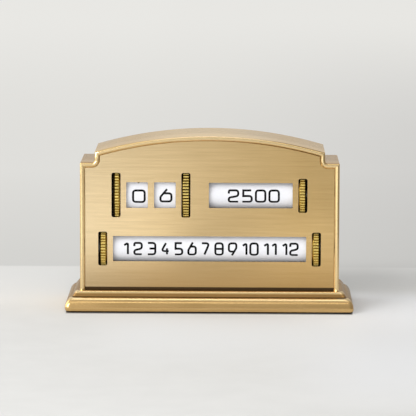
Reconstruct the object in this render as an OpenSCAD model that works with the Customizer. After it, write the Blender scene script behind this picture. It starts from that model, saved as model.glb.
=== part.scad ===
// Mechanical countdown calendar: a brass mantel-clock case with four rollers turned by thumbwheels.
// The front faces -Y, +X is to the right and +Z is up. The origin is under the middle of the base.

/* [Panel layout] */
// Width of each digit window
digit_win_w = 14.2; // [12:0.1:15]
// Height of the digit windows
digit_win_h = 17; // [14:0.1:19]
// Distance between the middles of the two digit windows
digit_pitch = 18.3; // [17:0.1:20]
// From the left end of the message window to the tens window
tens_inset = 8.75; // [8:0.05:10]
// Sheet left between the slot of the ones wheel and the unit window
unit_gap = 12.15; // [11.5:0.05:20]
// From the right end of the message window to the unit window
unit_inset = 9.1; // [8.5:0.05:14]
// Width of the message window
message_win_w = 127.2; // [110:0.2:150]
// Height of the unit and message windows
small_win_h = 16.7; // [12:0.1:18]
// Corner radius of the windows
win_corner = 0.4; // [0.2:0.1:1.5]
// Width of the thumbwheel slots
slot_w = 6; // [5.6:0.1:7]
// Corner radius of the slots
slot_corner = 1.3; // [0.5:0.1:2.5]
// Height of the slots of the digit wheels
digit_slot_h = 29.5; // [27:0.1:32]
// Height of the slots of the small wheels
small_slot_h = 22.5; // [20:0.1:25]
// Sheet left between a window and the slot beside it
slot_gap = 3.7; // [3:0.1:5]
// Middle of the lower row of windows, above the top of the plinth
lower_row = 27.4; // [25:0.1:34]

/* [Case] */
// Wall of the hood
case_wall = 1.8; // [1.4:0.1:2.4]
// Width of the raised rim round the front
rim_w = 3.4; // [3:0.1:4.5]
// How far the panel lies behind the crest of the rim
rim_recess = 1.5; // [1.2:0.1:2.5]
// Radius of the rim's outer edge
rim_round = 1.2; // [0.8:0.1:1.5]
// Flat crest of the rim
rim_crest = 0.5; // [0.2:0.1:0.8]
// Facets across each flank of the rim
rim_steps = 3; // [2:1:4]
// Top of the shoulders, above the upper row of windows
shoulder_rise = 21.4; // [18:0.1:26]
// Height of the step from the shoulder to the foot of the arch
step_h = 7.1; // [4:0.1:10]
// Width of each shoulder
step_w = 9.7; // [7:0.1:11]
// Radius in the inner corner of the step
step_fillet = 1.8; // [1:0.1:3]
// Height of the crown above the foot of the arch
crown_rise = 10.8; // [8:0.1:16]
// From the outer edge of the end slots to the side of the case
side_margin = 11.95; // [11.5:0.05:16]
// Open strip between the plinth and the lower edge of the panel
panel_foot = 2; // [1:0.1:3]
// Height of the sill that closes that strip from behind
sill_h = 3.6; // [3:0.1:5]
// Thickness of the sill
sill_t = 1.5; // [1:0.1:2.5]
// Free play of the panel and the cover inside the hood
edge_gap = 0.15; // [0.05:0.05:0.4]

/* [Plinth] */
// Projection of the plinth beyond the case
plinth_proj = 9.75; // [8.6:0.05:14]
// How far the lower edge is drawn in below the widest line of the plinth
foot_tuck = 0.7; // [0.2:0.1:1.1]
// Height of that widest line above the pad
widest_h = 1.8; // [0.8:0.1:2.5]
// Radius of the rounded front of the lower step
lower_r = 7.8; // [7.4:0.1:9]
// Height of that round
lower_rise = 6.9; // [5:0.1:7]
// Projection of the upper step beyond the case
upper_proj = 5.4; // [4.5:0.05:5.5]
// Height of the upright foot of the upper step
upper_foot = 0.4; // [0.2:0.1:1]
// Radius of the rounded front of the upper step
upper_r = 3.5; // [3:0.1:4.5]
// Thickness of the deck under the case
deck_t = 2.5; // [1.8:0.1:4]
// Thickness of the walls of the plinth
plinth_wall = 3.2; // [2.5:0.1:3.6]
// Thickness of the base plate
base_plate_t = 1; // [0.8:0.1:2]
// Thickness of the pad
pad_t = 1; // [0.5:0.1:3]
// How far the edge of the pad lies inside the edge of the plinth
pad_inset = 1.2; // [0.3:0.1:3]

/* [Rollers] */
// Radius of the digit drums
digit_drum_r = 21.1; // [20:0.1:24]
// Radius of the unit and message drums
small_drum_r = 11; // [10:0.1:13]
// Thickness of the printed bands
label_t = 0.2; // [0.1:0.05:0.5]
// Gap between the panel and the printed bands
label_gap = 0.7; // [0.4:0.1:1.5]
// Wall of the drums
drum_wall = 1.6; // [1.2:0.1:2.2]
// End wall of the drums
drum_end = 2; // [1.5:0.1:3]
// Gap between the two digit drums
drum_gap = 0.8; // [0.4:0.1:1.5]
// Drum beyond the edge of its window
drum_margin = 2.5; // [1.5:0.1:3]
// How far the wheels stand out of the panel
wheel_proud = 2; // [1:0.1:3]
// Thickness of the thumbwheels
wheel_t = 4.8; // [4:0.1:5]
// Offset of the wheels in their slots, towards the drums
wheel_set = 0.35; // [0:0.05:0.4]
// Teeth on each digit wheel
digit_teeth = 80; // [60:10:100]
// Teeth on each small wheel
small_teeth = 50; // [40:5:70]
// Depth of the teeth
tooth_depth = 0.6; // [0.3:0.05:1]
// Chamfer on the drum side of the wheels
wheel_chamfer = 1.2; // [0.6:0.1:1.6]
// Chamfer on their outer side
wheel_edge = 0.4; // [0.2:0.1:0.8]
// Depth of the dish in each face of the wheels
wheel_dish = 0.9; // [0.4:0.1:1.4]
// Width of the wheels' outer land
wheel_land = 3.2; // [2.4:0.1:4]
// Radius of the hubs
hub_r = 7; // [6.5:0.1:8]
// Radius of the spigots that carry the wheels
spigot_r = 5.5; // [4.5:0.1:6]
// Flat of those spigots, from the axis
spigot_flat = 4.5; // [3.5:0.1:5]
// Diameter of the axles and of the spindle
axle_d = 4; // [3:0.1:5]
// Radial clearance of what turns on an axle
run_fit = 0.05; // [0.02:0.01:0.1]
// Gap between the digit wheels and the printed band of the message drum
row_clear = 0.6; // [0.3:0.1:2]
// Gap between the digit wheels and the back cover
rear_gap = 0.5; // [0.3:0.1:3]

/* [Frame] */
// Thickness of the front panel
panel_t = 1.2; // [0.8:0.1:2]
// Thickness of the brackets
bracket_t = 1.5; // [1:0.1:2]
// Width of the bracket flanges
flange_w = 7; // [6.5:0.1:7.2]
// Radius of the bracket round each axle
lug_r = 6.5; // [5.5:0.1:8]
// Side brackets above and below the window rows
bracket_reach = 14.5; // [13.5:0.1:15]
// Depth of the bracket webs behind the panel
web_depth = 14; // [12.5:0.1:16]
// Ears of the centre bracket, above and below the upper row
ear_rise = 15.4; // [15:0.1:16]
// Height of each ear
ear_h = 7; // [6:0.1:8]
// Pillars below the lower row
pillar_drop = 10; // [9:0.1:11]
// Pillars above the upper row
pillar_rise = 9; // [8.5:0.1:10]
// Diameter of the studs of the panel
stud_d = 3; // [2:0.1:3]
// Length of the studs behind the brackets
stud_reach = 5; // [3:0.1:6]
// Size of the pillars and nuts across their flats
hex_af = 5.5; // [5:0.1:5.6]
// Thickness of the nuts
nut_t = 2.4; // [1.6:0.1:3]
// Thickness of the back cover
cover_t = 1; // [0.8:0.1:2]
// How far the back cover lies inside the rear edge of the hood
cover_inset = 0.6; // [0.2:0.1:3]
// Outer radius of the spacer tubes
spacer_r = 3.4; // [3:0.1:4]
// Outer radius of the spring washers
washer_r = 4.2; // [3.6:0.1:4.6]
// Sheet thickness of the spring washers
washer_t = 0.25; // [0.15:0.05:0.4]
// Height of the spring washers under load
washer_h = 0.6; // [0.45:0.05:0.75]
// Thickness of the flange of the spindle bushes
bush_flange_t = 1; // [0.6:0.1:1.6]
// Radius of the flange of the spindle bushes
bush_flange_r = 4.6; // [4.2:0.1:5.5]
// Radius of the body of the spindle bushes
bush_r = 3.2; // [2.8:0.1:3.8]
// How far axles, spindle and bushes reach past the brackets
axle_reach = 2; // [1.6:0.1:2.4]
// Thickness of the retaining clips
clip_t = 0.6; // [0.4:0.1:0.8]
// Outer radius of the retaining clips
clip_r = 3.8; // [3.2:0.1:4.2]

/* [Screws] */
// Diameter of the screws
screw_d = 2.5; // [2:0.1:3]
// Diameter of the screw heads
screw_head_d = 5; // [4:0.1:5.4]
// Height of the screw heads
screw_head_h = 1.3; // [1:0.1:2]
// Length of the screws in the part that they hold
screw_grip = 6; // [4:0.5:8]
// Play of a screw in a hole that it passes through
screw_play = 0.3; // [0.1:0.05:0.5]
// Radius of the bosses that take the screws
boss_r = 3.2; // [2.8:0.1:3.4]
// How far the bosses sink into the walls that carry them
boss_sink = 0.6; // [0.4:0.1:1]
// Length of the bosses of the back cover
boss_l = 12; // [8:0.5:16]
// Width of the blocks that hold the hood down
foot_w = 7; // [6:0.1:7.2]
// Length of those blocks
foot_l = 8; // [6:0.5:10]
// Height of those blocks
foot_h = 10; // [8:0.5:11]
// Distance between those blocks, front to back
foot_pitch = 14; // [12:0.5:20]
// Their middle, in front of the middle of the case
foot_mid = 3; // [0:0.5:4]
// Bosses of the base plate, from the middle of the base
base_boss_x = 60; // [30:1:70]
// Bosses of the base plate, in front of and behind the middle
base_boss_y = 18; // [10:1:20]

/* [Hidden] */
$fn = 64;
arch_fn = 256;
// Solids made of layers meet at round figures
function hundredth(v) = round(100*v)/100;
// Slight overlap that joins solids of one piece
bite = 0.5;
axle_r = axle_d/2;
stud_r = stud_d/2;
screw_r = screw_d/2;
head_r = screw_head_d/2;
bore_r = axle_r + run_fit;
pass_r = screw_r + screw_play;
tap_r = screw_r + run_fit;

// Distances from the panel's front face to the two kinds of axis, and the wheels that stand out of it
digit_label_r = digit_drum_r + label_t;
small_label_r = small_drum_r + label_t;
digit_depth = panel_t + label_gap + digit_label_r;
small_depth = panel_t + label_gap + small_label_r;
digit_wheel_r = digit_depth + wheel_proud;
small_wheel_r = small_depth + wheel_proud;

// Depths, front to back: the case is as deep as the digit wheels need
body_d = rim_recess + digit_depth + digit_wheel_r + rear_gap + cover_t + cover_inset;
rim_y = -body_d/2;
rear_y = body_d/2;
panel_y = rim_y + rim_recess;
panel_back = panel_y + panel_t;
flange_back = panel_back + bracket_t;
digit_y = panel_y + digit_depth;
small_y = panel_y + small_depth;
cover_y = rear_y - cover_inset - cover_t;

// Heights
widest_z = pad_t + widest_h;
tread_z = widest_z + lower_rise;
deck_z = tread_z + upper_foot + upper_r;
deck_under = deck_z - deck_t;
lower_z = deck_z + lower_row;
row_pitch = sqrt(pow(digit_wheel_r + small_label_r + row_clear, 2) - pow(digit_y - small_y, 2));
upper_z = lower_z + hundredth(row_pitch);
shoulder_z = upper_z + shoulder_rise;
spring_z = shoulder_z + step_h;
crown_z = spring_z + crown_rise;

// Widths
case_hw = message_win_w/2 + slot_gap + slot_w + side_margin;
case_hd = body_d/2;
step_x = case_hw - step_w;
arch_r = hundredth((pow(step_x, 2) + pow(crown_rise, 2))/(2*crown_rise));
arch_z = crown_z - arch_r;
inner_hw = case_hw - case_wall;

// Middles of the windows and slots: the upper row fills the length of the message window
digit_pair_x = -message_win_w/2 + tens_inset + digit_win_w/2 + digit_pitch/2;
digit_slot_dx = digit_pitch/2 + digit_win_w/2 + slot_gap + slot_w/2;
tens_slot_x = digit_pair_x - digit_slot_dx;
ones_slot_x = digit_pair_x + digit_slot_dx;
unit_win_left = ones_slot_x + slot_w/2 + unit_gap;
unit_win_right = message_win_w/2 - unit_inset;
unit_slot_x = unit_win_right + slot_gap + slot_w/2;
message_slot_x = message_win_w/2 + slot_gap + slot_w/2;

// Inner and outer faces of the wheels
tens_face = tens_slot_x + wheel_set + wheel_t/2;
ones_face = ones_slot_x - wheel_set - wheel_t/2;
unit_face = unit_slot_x - wheel_set - wheel_t/2;
message_face = message_slot_x - wheel_set - wheel_t/2;
tens_out = tens_face - wheel_t;
ones_out = ones_face + wheel_t;
unit_out = unit_face + wheel_t;
message_out = message_face + wheel_t;

// Lengths of the drums
digit_drum_l = digit_pair_x - drum_gap/2 - tens_face;
unit_end = unit_win_left - drum_margin;
unit_drum_l = unit_face - unit_end;
message_tube_l = 2*(message_face - drum_end);
plug_l = 6;
label_edge = 0.4;
glue = 0.02;
drum_ribs = 6;
rib_t = 1.2;

// Brackets: the side webs stand outside the message wheels, the centre web between two rollers
washer_play = 0.15;
washer_room = washer_h + washer_play;
side_web_x = message_out + washer_room + bush_flange_t;
side_web_out = side_web_x + bracket_t;
centre_web_x = (ones_out + unit_end)/2 - bracket_t/2;
centre_web_out = centre_web_x + bracket_t;
web_low = lower_z - bracket_reach;
web_high = upper_z + bracket_reach;
side_stud_x = side_web_out + flange_w/2;
ear_margin = 0.55;
pillar_z = [lower_z - pillar_drop, upper_z + pillar_rise];
ear_w = hex_af + 2*ear_margin;
ear_stud_x = centre_web_out + ear_w/2;
ear_z = [upper_z - ear_rise, upper_z + ear_rise];
stud_play = 0.1;

// Retaining clips
groove_depth = 0.4;
groove_r = axle_r - groove_depth;
clip_play = 0.05;
axle_bevel = 0.3;
clip_gap = 2*clip_play;
digit_clips = [-side_web_out - clip_gap - clip_t, centre_web_out + clip_gap];
unit_clips = [centre_web_x - clip_gap - clip_t, side_web_out + clip_gap];
spindle_l = 2*(side_web_out + axle_reach);

// Screws
boss_x = inner_hw - boss_r + boss_sink;
boss_z = [deck_z + 2*boss_r, shoulder_z - case_wall - boss_r + boss_sink];
foot_x = inner_hw - foot_w/2;
foot_y = [-foot_mid - foot_pitch/2, -foot_mid + foot_pitch/2];

// Plinth: middles of the two rounds, from the side of the case, and the steps of its hollow
lower_mid = plinth_proj - lower_r;
upper_mid = upper_proj - upper_r;
hollow_low = plinth_proj - foot_tuck - plinth_wall;
hollow_high = upper_proj - plinth_wall;
hollow_step = tread_z - plinth_wall;
plate_play = 0.2;

// Colours
brass = [0.80, 0.66, 0.44];
brushed = [0.82, 0.69, 0.47];
wheel_brass = [0.79, 0.69, 0.38];
black = [0.06, 0.06, 0.06];
steel = [0.70, 0.71, 0.72];
plastic = [0.90, 0.89, 0.86];
paper = [0.96, 0.96, 0.95];
acetal = [0.25, 0.25, 0.26];

// A drawing of the front (x, z) made solid from y0 back to y1
module front_extrude(y0, y1) {
    translate([0, y1, 0]) rotate([90, 0, 0]) linear_extrude(y1 - y0) children();
}

// A drawing of the side (y, z) made solid from x0 to x1
module side_extrude(x0, x1) {
    translate([x0, 0, 0]) rotate([90, 0, 90]) linear_extrude(x1 - x0) children();
}

// Children drawn along Z are laid along X on an axis at (y, z), starting at x
module on_axis(y, z, x) {
    translate([x, y, z]) rotate([0, 90, 0]) children();
}

// The same, running towards -X
module on_axis_back(y, z, x) {
    on_axis(y, z, x) mirror([0, 0, 1]) children();
}

module rounded_rect(x, z, w, h, r) {
    translate([x - w/2 + r, z - h/2]) square([w - 2*r, h]);
    translate([x - w/2, z - h/2 + r]) square([w, h - 2*r]);
    for (sx = [-1, 1], sz = [-1, 1])
        translate([x + sx*(w/2 - r), z + sz*(h/2 - r)]) circle(r = r, $fn = 32);
}

// The case seen from the front, drawn in by d, with its lower edge at z = foot
module case_outline(d, foot) {
    translate([-(case_hw - d), foot]) square([2*(case_hw - d), shoulder_z - d - foot]);
    intersection() {
        translate([0, arch_z]) circle(r = arch_r - d, $fn = arch_fn);
        translate([-(step_x - d), foot]) square([2*(step_x - d), crown_z - foot]);
    }
    for (side = [0, 1]) mirror([side, 0]) difference() {
        translate([step_x - d - bite, shoulder_z - d - bite])
            square([step_fillet + d + bite, step_fillet + d + bite]);
        translate([step_x + step_fillet, shoulder_z + step_fillet]) circle(r = step_fillet + d);
    }
}

// The same outline as a solid that tapers from inset d0 at y0 to inset d1 at y1
module case_taper(d0, y0, d1, y1, foot) {
    deep = max(d0, d1);
    intersection() {
        wedge(case_hw, d0, y0, d1, y1, foot, shoulder_z);
        side_extrude(-case_hw, case_hw)
            polygon([[y0, foot], [y1, foot], [y1, shoulder_z - d1], [y0, shoulder_z - d0]]);
    }
    intersection() {
        wedge(step_x, d0, y0, d1, y1, foot, crown_z);
        translate([0, y0, arch_z]) rotate([-90, 0, 0])
            cylinder(h = y1 - y0, r1 = arch_r - d0, r2 = arch_r - d1, $fn = arch_fn);
    }
    for (side = [0, 1]) mirror([side, 0, 0]) difference() {
        translate([step_x - deep - bite, y0, shoulder_z - deep - bite])
            cube([step_fillet + deep + bite, y1 - y0, step_fillet + deep + bite]);
        translate([step_x + step_fillet, y0, shoulder_z + step_fillet]) rotate([-90, 0, 0])
            cylinder(h = y1 - y0, r1 = step_fillet + d0, r2 = step_fillet + d1);
    }
}

module wedge(half, d0, y0, d1, y1, z0, z1) {
    translate([0, 0, z0]) linear_extrude(z1 - z0)
        polygon([[-(half - d0), y0], [half - d0, y0], [half - d1, y1], [-(half - d1), y1]]);
}

// Half the section of the plinth about the middle of the case, for a case of this half size
module plinth_section(half) {
    low = half + plinth_proj;
    polygon([[0, pad_t], [low - foot_tuck, pad_t], [low, widest_z], [0, widest_z]]);
    translate([0, widest_z]) square([half + lower_mid, lower_rise]);
    intersection() {
        translate([half + lower_mid, widest_z]) circle(r = lower_r, $fn = arch_fn);
        translate([half, widest_z]) square([plinth_proj, lower_rise]);
    }
    translate([0, widest_z]) square([half + upper_proj, lower_rise + upper_foot]);
    translate([0, widest_z]) square([half + upper_mid, deck_z - widest_z]);
    translate([half + upper_mid, deck_z - upper_r]) circle(r = upper_r, $fn = arch_fn);
}

module plinth_block() {
    intersection() {
        front_extrude(-case_hd - plinth_proj, case_hd + plinth_proj)
            for (side = [0, 1]) mirror([side, 0]) plinth_section(case_hw);
        side_extrude(-case_hw - plinth_proj, case_hw + plinth_proj)
            for (side = [0, 1]) mirror([side, 0]) plinth_section(case_hd);
    }
}

// A box round the middle of the case, as far beyond its sides as p
module case_box(p, z0, z1) {
    translate([-case_hw - p, -case_hd - p, z0]) cube([2*(case_hw + p), 2*(case_hd + p), z1 - z0]);
}

module at_base_bosses() {
    for (sx = [-1, 1], sy = [-1, 1]) translate([sx*base_boss_x, sy*base_boss_y, 0]) children();
}

module at_feet() {
    for (sx = [-1, 1], y = foot_y) translate([sx*foot_x, y, 0]) children();
}

module at_cover_bosses() {
    for (sx = [-1, 1], z = boss_z) translate([sx*boss_x, 0, z]) rotate([-90, 0, 0]) children();
}

module plinth() color(brass) {
    difference() {
        union() {
            difference() {
                plinth_block();
                case_box(hollow_low, pad_t - bite, hollow_step);
                case_box(hollow_high, pad_t - bite, deck_under);
            }
            at_base_bosses() translate([0, 0, pad_t + base_plate_t])
                cylinder(r = boss_r, h = deck_under - pad_t - base_plate_t + bite);
        }
        at_base_bosses() cylinder(r = tap_r, h = deck_under - bite);
        at_feet() cylinder(r = pass_r, h = deck_z + bite);
    }
}

module base_plate() color(black) {
    difference() {
        case_box(hollow_low - plate_play, pad_t, pad_t + base_plate_t);
        at_base_bosses() translate([0, 0, pad_t])
            cylinder(r1 = head_r + run_fit, r2 = tap_r + run_fit, h = base_plate_t);
    }
}

module base_pad() color(black) case_box(plinth_proj - pad_inset, 0, pad_t);

// Countersunk screws up through the base plate
module base_screws() color(steel) at_base_bosses() translate([0, 0, pad_t]) {
    cylinder(r1 = head_r, r2 = screw_r, h = base_plate_t);
    cylinder(r = screw_r, h = base_plate_t + screw_grip);
}

module hood() color(brass) {
    difference() {
        union() {
            difference() {
                union() {
                    front_extrude(rim_y + rim_round, rear_y) case_outline(0, deck_z);
                    rim_flank(deck_z, rim_round, -rim_round, rim_round);
                }
                front_extrude(panel_y, rear_y + bite) case_outline(case_wall, deck_z - bite);
                front_extrude(rim_y - bite, rim_y) case_outline(rim_round + rim_crest, deck_z - bite);
                rim_flank(deck_z - bite, rim_round + rim_crest, rim_w - rim_round - rim_crest, rim_recess);
            }
            at_cover_bosses() translate([0, 0, cover_y - boss_l]) cylinder(r = boss_r, h = boss_l);
            at_feet() translate([-foot_w/2, -foot_l/2, deck_z])
                cube([foot_w, foot_l, foot_h]);
            for (sx = [-1, 1], y = foot_y)
                translate([sx*inner_hw - bite, y - foot_l/2, deck_z]) cube([2*bite, foot_l, foot_h]);
        }
        at_cover_bosses() translate([0, 0, cover_y - screw_grip - bite])
            cylinder(r = tap_r, h = screw_grip + 2*bite);
        at_feet() translate([0, 0, deck_z - bite]) cylinder(r = tap_r, h = screw_grip + 2*bite);
    }
}

// One rounded flank of the rim: from inset d at the crest, drawn in by grow at depth deep
module rim_flank(foot, d, grow, deep) {
    for (i = [0:rim_steps - 1]) {
        a = 90*i/rim_steps;
        b = 90*(i + 1)/rim_steps;
        case_taper(
            hundredth(d + grow*sin(a)), rim_y + hundredth(deep*(1 - cos(a))),
            hundredth(d + grow*sin(b)), rim_y + hundredth(deep*(1 - cos(b))), foot
        );
    }
}

module hood_screws() color(steel) at_feet() {
    translate([0, 0, deck_under - screw_head_h]) cylinder(r = head_r, h = screw_head_h);
    translate([0, 0, deck_under]) cylinder(r = screw_r, h = deck_t + screw_grip);
}

module panel_windows() {
    for (s = [-1, 1])
        rounded_rect(digit_pair_x + s*digit_pitch/2, upper_z, digit_win_w, digit_win_h, win_corner);
    rounded_rect(
        (unit_win_left + unit_win_right)/2, upper_z, unit_win_right - unit_win_left, small_win_h, win_corner
    );
    rounded_rect(0, lower_z, message_win_w, small_win_h, win_corner);
    for (x = [tens_slot_x, ones_slot_x]) rounded_rect(x, upper_z, slot_w, digit_slot_h, slot_corner);
    rounded_rect(unit_slot_x, upper_z, slot_w, small_slot_h, slot_corner);
    for (s = [-1, 1]) rounded_rect(s*message_slot_x, lower_z, slot_w, small_slot_h, slot_corner);
}

// Places of the studs behind the panel: under the side brackets and under the centre bracket
module at_side_studs() {
    for (sx = [-1, 1], z = pillar_z) translate([sx*side_stud_x, 0, z]) rotate([-90, 0, 0]) children();
}

module at_ear_studs() {
    for (z = ear_z) translate([ear_stud_x, 0, z]) rotate([-90, 0, 0]) children();
}

// Stamped sheet with a sill bar behind its lower edge and studs for the movement
module front_panel() color(brushed) {
    front_extrude(panel_y, panel_back) difference() {
        case_outline(case_wall + edge_gap, deck_z + panel_foot);
        panel_windows();
    }
    translate([-inner_hw + edge_gap, panel_back - bite, deck_z])
        cube([2*(inner_hw - edge_gap), bite + sill_t, sill_h]);
    at_side_studs() translate([0, 0, panel_back - bite])
        cylinder(r = stud_r, h = bite + bracket_t + stud_reach);
    at_ear_studs() translate([0, 0, panel_back - bite])
        cylinder(r = stud_r, h = bite + bracket_t + stud_reach);
}

// Web of a bracket in side view: a strip behind the panel with a lug round each axle
module web(low, high, depth, axles) {
    translate([panel_back, low]) square([depth, high - low]);
    for (p = axles) {
        translate([panel_back, p[1] - lug_r]) square([p[0] - panel_back, 2*lug_r]);
        translate(p) circle(r = lug_r);
    }
}

// Side bracket on the +X side: web, flange on the panel, holes for one fixed axle and one bush
module side_bracket(axle_y) {
    difference() {
        union() {
            side_extrude(side_web_x, side_web_out)
                web(web_low, web_high, web_depth, [[axle_y, upper_z], [small_y, lower_z]]);
            translate([side_web_x, panel_back, web_low])
                cube([bracket_t + flange_w, bracket_t, web_high - web_low]);
        }
        on_axis(axle_y, upper_z, side_web_x - bite) cylinder(r = bore_r, h = bracket_t + 2*bite);
        on_axis(small_y, lower_z, side_web_x - bite) cylinder(r = bush_r + run_fit, h = bracket_t + 2*bite);
        at_side_studs() translate([0, 0, panel_back - bite])
            cylinder(r = stud_r + stud_play, h = bracket_t + 2*bite);
    }
}

module left_bracket() color(steel) mirror([1, 0, 0]) side_bracket(digit_y);

module right_bracket() color(steel) side_bracket(small_y);

module centre_bracket() color(steel) {
    difference() {
        union() {
            side_extrude(centre_web_x, centre_web_out)
                web(ear_z[0] - ear_h/2, ear_z[1] + ear_h/2, lug_r, [[small_y, upper_z], [digit_y, upper_z]]);
            for (z = ear_z) translate([centre_web_x, panel_back, z - ear_h/2])
                cube([bracket_t + ear_w, bracket_t, ear_h]);
        }
        for (y = [small_y, digit_y])
            on_axis(y, upper_z, centre_web_x - bite) cylinder(r = bore_r, h = bracket_t + 2*bite);
        at_ear_studs() translate([0, 0, panel_back - bite])
            cylinder(r = stud_r + stud_play, h = bracket_t + 2*bite);
    }
}

// Hexagon bar with a blind hole for a stud
module hex_bar(l, hole) {
    difference() {
        cylinder(r = hex_af/sqrt(3), h = l, $fn = 6);
        translate([0, 0, -bite]) cylinder(r = stud_r + stud_play, h = hole + bite);
    }
}

// Pillars screwed on the side studs: they clamp the brackets and prop the panel against the cover
module pillars() color(steel) at_side_studs() translate([0, 0, flange_back])
    hex_bar(cover_y - flange_back, stud_reach + stud_play);

module bracket_nuts() color(steel) at_ear_studs() translate([0, 0, flange_back]) hex_bar(nut_t, nut_t + bite);

module back_cover() color(black) {
    difference() {
        front_extrude(cover_y, cover_y + cover_t) case_outline(case_wall + edge_gap, deck_z + edge_gap);
        at_cover_bosses() translate([0, 0, cover_y - bite]) cylinder(r = pass_r, h = cover_t + 2*bite);
    }
}

module cover_screws() color(steel) at_cover_bosses() {
    translate([0, 0, cover_y + cover_t]) cylinder(r = head_r, h = screw_head_h);
    translate([0, 0, cover_y - screw_grip]) cylinder(r = screw_r, h = screw_grip + cover_t);
}

// Fixed axle along Z from a to b, with clip grooves just outside the webs that hold it
module axle(a, b, grooves) {
    difference() {
        union() {
            translate([0, 0, a + axle_bevel]) cylinder(r = axle_r, h = b - a - 2*axle_bevel);
            translate([0, 0, a]) cylinder(r1 = axle_r - axle_bevel, r2 = axle_r, h = axle_bevel);
            translate([0, 0, b - axle_bevel]) cylinder(r1 = axle_r, r2 = axle_r - axle_bevel, h = axle_bevel);
        }
        for (g = grooves) translate([0, 0, g - clip_play]) difference() {
            cylinder(r = axle_r + bite, h = clip_t + 2*clip_play);
            translate([0, 0, -bite]) cylinder(r = groove_r, h = clip_t + 2*bite);
        }
    }
}

module digit_axle() color(steel) on_axis(digit_y, upper_z, 0)
    axle(-side_web_out - axle_reach, centre_web_out + axle_reach, digit_clips);

module unit_axle() color(steel) on_axis(small_y, upper_z, 0)
    axle(centre_web_x - axle_reach, side_web_out + axle_reach, unit_clips);

// Retaining clip: a ring open on one side, sprung into a groove
module clip() {
    difference() {
        cylinder(r = clip_r, h = clip_t);
        translate([0, 0, -bite]) cylinder(r = groove_r + clip_play, h = clip_t + 2*bite);
        translate([0, -groove_r, -bite]) cube([clip_r + bite, 2*groove_r, clip_t + 2*bite]);
    }
}

module axle_clips() color(steel) {
    for (x = digit_clips) on_axis(digit_y, upper_z, x) clip();
    for (x = unit_clips) on_axis(small_y, upper_z, x) clip();
}

module tube(r_out, r_in, l) {
    difference() {
        cylinder(r = r_out, h = l);
        translate([0, 0, -bite]) cylinder(r = r_in, h = l + 2*bite);
    }
}

module left_spacer() color(acetal) on_axis(digit_y, upper_z, -side_web_x)
    tube(spacer_r, bore_r, tens_out - washer_room + side_web_x);

module centre_spacer() color(acetal) on_axis(digit_y, upper_z, ones_out + washer_room)
    tube(spacer_r, bore_r, centre_web_x - ones_out - washer_room);

module right_spacer() color(acetal) on_axis(small_y, upper_z, unit_out + washer_room)
    tube(spacer_r, bore_r, side_web_x - unit_out - washer_room);

module drum_washer() color(acetal) on_axis(digit_y, upper_z, digit_pair_x - drum_gap/2 + clip_play)
    tube(hub_r - bite, bore_r, drum_gap - 2*clip_play);

// Dished washer that presses a roller along its axle, so that friction holds it
module spring_washer() {
    rotate_extrude() polygon([
        [bore_r + clip_play, washer_h - washer_t], [washer_r, 0],
        [washer_r, washer_t], [bore_r + clip_play, washer_h]
    ]);
}

module spring_washers() color(steel) {
    on_axis(digit_y, upper_z, tens_out - washer_room + clip_play) spring_washer();
    on_axis_back(digit_y, upper_z, ones_out + washer_room - clip_play) spring_washer();
    on_axis_back(small_y, upper_z, unit_out + washer_room - clip_play) spring_washer();
    on_axis(small_y, lower_z, -message_out - washer_room + clip_play) spring_washer();
    on_axis_back(small_y, lower_z, message_out + washer_room - clip_play) spring_washer();
}

// Flanged bush of the spindle, on the +X side
module bush() {
    difference() {
        union() {
            translate([0, 0, -bush_flange_t]) cylinder(r = bush_flange_r, h = bush_flange_t);
            cylinder(r = bush_r, h = bracket_t + axle_reach/2);
        }
        translate([0, 0, -bush_flange_t - bite])
            cylinder(r = bore_r, h = bush_flange_t + bracket_t + axle_reach + 2*bite);
    }
}

module left_bush() color(acetal) on_axis_back(small_y, lower_z, -side_web_x) bush();

module right_bush() color(acetal) on_axis(small_y, lower_z, side_web_x) bush();

// Spigot with a flat that carries a wheel; the wheel's bore is the same shape with play
module spigot(l, play) {
    difference() {
        cylinder(r = spigot_r + play, h = l);
        translate([spigot_flat + play, -spigot_r - bite, -bite])
            cube([spigot_r, 2*(spigot_r + bite), l + 2*bite]);
    }
}

// Drum open at its far end, with its end wall at the wheel and a hub as long as hub_l
module drum(r, l, hub_l) {
    difference() {
        union() {
            difference() {
                cylinder(r = r, h = l);
                translate([0, 0, drum_end]) cylinder(r = r - drum_wall, h = l);
            }
            cylinder(r = hub_r, h = hub_l);
            if (r - drum_wall - hub_r > 2*rib_t) for (i = [0:drum_ribs - 1]) rotate([0, 0, i*360/drum_ribs])
                translate([hub_r - bite, -rib_t/2, drum_end - bite])
                    cube([r - drum_wall - hub_r + 2*bite, rib_t, hub_l - drum_end]);
            mirror([0, 0, 1]) spigot(wheel_t, 0);
        }
        translate([0, 0, -wheel_t - bite]) cylinder(r = bore_r, h = wheel_t + l + 2*bite);
    }
}

module label(r, l) {
    translate([0, 0, label_edge]) tube(r + label_t, r + glue, l - 2*label_edge);
}

// Toothed outline of a wheel: grooves with sloping sides between rounded ridges
function tooth_outline(r, n) = [
    for (i = [0:n - 1], p = [[0.13, 1], [0.25, 0.3], [0.4, 0], [0.6, 0], [0.75, 0.3], [0.87, 1]])
        (r - p[1]*tooth_depth)*[cos(360*(i + p[0])/n), sin(360*(i + p[0])/n)]
];

// Thumbwheel with its drum side at z = 0: toothed and bevelled rim, dished faces, bore with a flat
module thumbwheel(r, n) {
    difference() {
        intersection() {
            linear_extrude(wheel_t) polygon(tooth_outline(r, n));
            rotate_extrude($fn = arch_fn) polygon([
                [0, 0], [r - wheel_chamfer, 0], [r + bite, wheel_chamfer + bite],
                [r + bite, wheel_t - wheel_edge - bite], [r - wheel_edge, wheel_t], [0, wheel_t]
            ]);
        }
        for (z = [-bite, wheel_t - wheel_dish]) translate([0, 0, z])
            tube(r - wheel_land, hub_r + rib_t, wheel_dish + bite);
        translate([0, 0, -bite]) spigot(wheel_t + 2*bite, run_fit);
    }
}

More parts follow.
